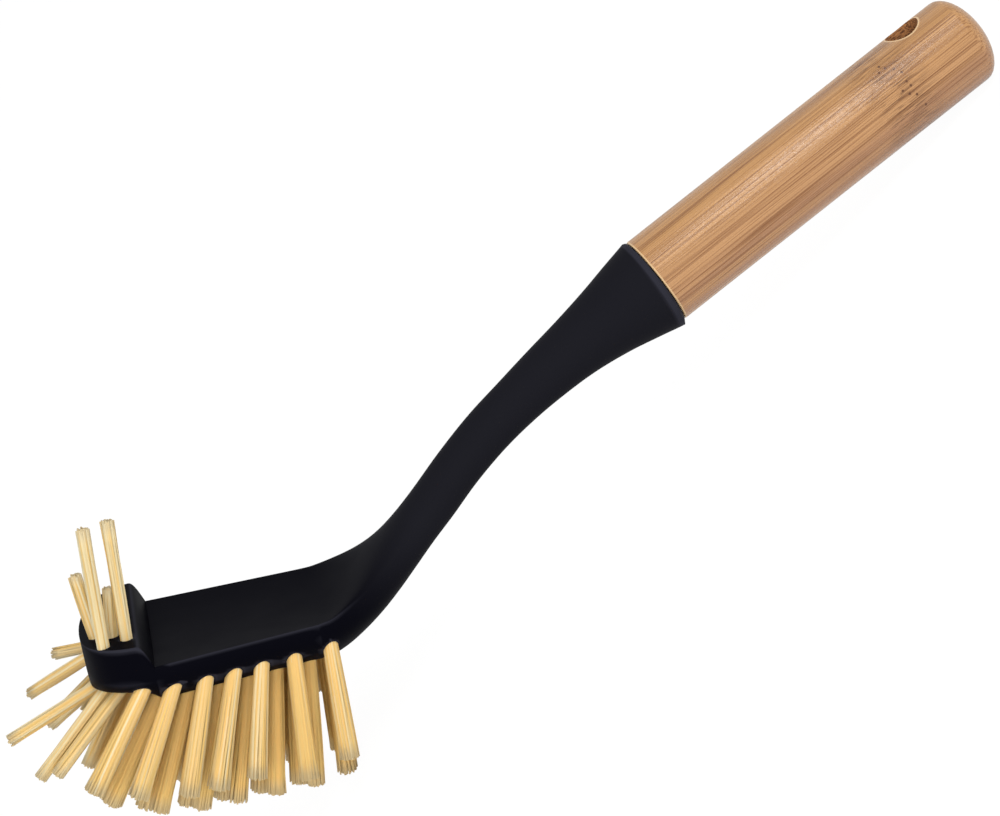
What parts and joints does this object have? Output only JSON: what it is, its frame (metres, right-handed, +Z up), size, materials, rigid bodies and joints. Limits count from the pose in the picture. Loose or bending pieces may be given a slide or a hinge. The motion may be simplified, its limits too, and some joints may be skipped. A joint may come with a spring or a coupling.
{
  "type": "dish brush",
  "caption": "Long-handled dish brush: round bamboo handle, angled black head, dense tufts of straw-coloured bristle below and round the nose.",
  "frame": {"origin": "middle of the footprint's box, on the surface that the brush rests on", "axes": "+X along the brush from its nose to the handle's end, +Y across the head, +Z up"},
  "size_m": [0.2698, 0.0528, 0.0899],
  "materials": {
    "bamboo": "turned bamboo, satin varnish, lengthwise grain",
    "black_moulding": "injection-moulded, fine matte texture",
    "bristle": "straw-coloured fibre, slightly translucent"
  },
  "bodies": {
    "root": {"bamboo_handle": "bamboo", "moulded_neck_and_head": "black_moulding", "tuft_centre_1": "bristle", "tuft_centre_2": "bristle", "tuft_centre_3": "bristle", "tuft_centre_4": "bristle", "tuft_centre_5": "bristle", "tuft_centre_6": "bristle", "tuft_fan_front_left": "bristle", "tuft_fan_front_right": "bristle", "tuft_fan_low_centre": "bristle", "tuft_fan_low_left": "bristle", "tuft_fan_low_right": "bristle", "tuft_fan_nose_left": "bristle", "tuft_fan_nose_right": "bristle", "tuft_fan_side_right": "bristle", "tuft_outer_left_1": "bristle", "tuft_outer_left_2": "bristle", "tuft_outer_left_3": "bristle", "tuft_outer_left_4": "bristle", "tuft_outer_left_5": "bristle", "tuft_outer_left_6": "bristle", "tuft_outer_left_7": "bristle", "tuft_outer_right_1": "bristle", "tuft_outer_right_2": "bristle", "tuft_outer_right_3": "bristle", "tuft_outer_right_4": "bristle", "tuft_outer_right_5": "bristle", "tuft_outer_right_6": "bristle", "tuft_outer_right_7": "bristle", "tuft_second_left_1": "bristle", "tuft_second_left_2": "bristle", "tuft_second_left_3": "bristle", "tuft_second_left_4": "bristle", "tuft_second_left_5": "bristle", "tuft_second_left_6": "bristle", "tuft_second_right_1": "bristle", "tuft_second_right_2": "bristle", "tuft_second_right_3": "bristle", "tuft_second_right_4": "bristle", "tuft_second_right_5": "bristle", "tuft_second_right_6": "bristle", "tuft_third_left_1": "bristle", "tuft_third_left_2": "bristle", "tuft_third_left_3": "bristle", "tuft_third_left_4": "bristle", "tuft_third_left_5": "bristle", "tuft_third_left_6": "bristle", "tuft_third_left_7": "bristle", "tuft_third_right_1": "bristle", "tuft_third_right_2": "bristle", "tuft_third_right_3": "bristle", "tuft_third_right_4": "bristle", "tuft_third_right_5": "bristle", "tuft_third_right_6": "bristle", "tuft_third_right_7": "bristle", "tuft_upright_between": "bristle", "tuft_upright_front": "bristle", "tuft_upright_inner": "bristle", "tuft_upright_rear": "bristle"}
  },
  "joints": []
}
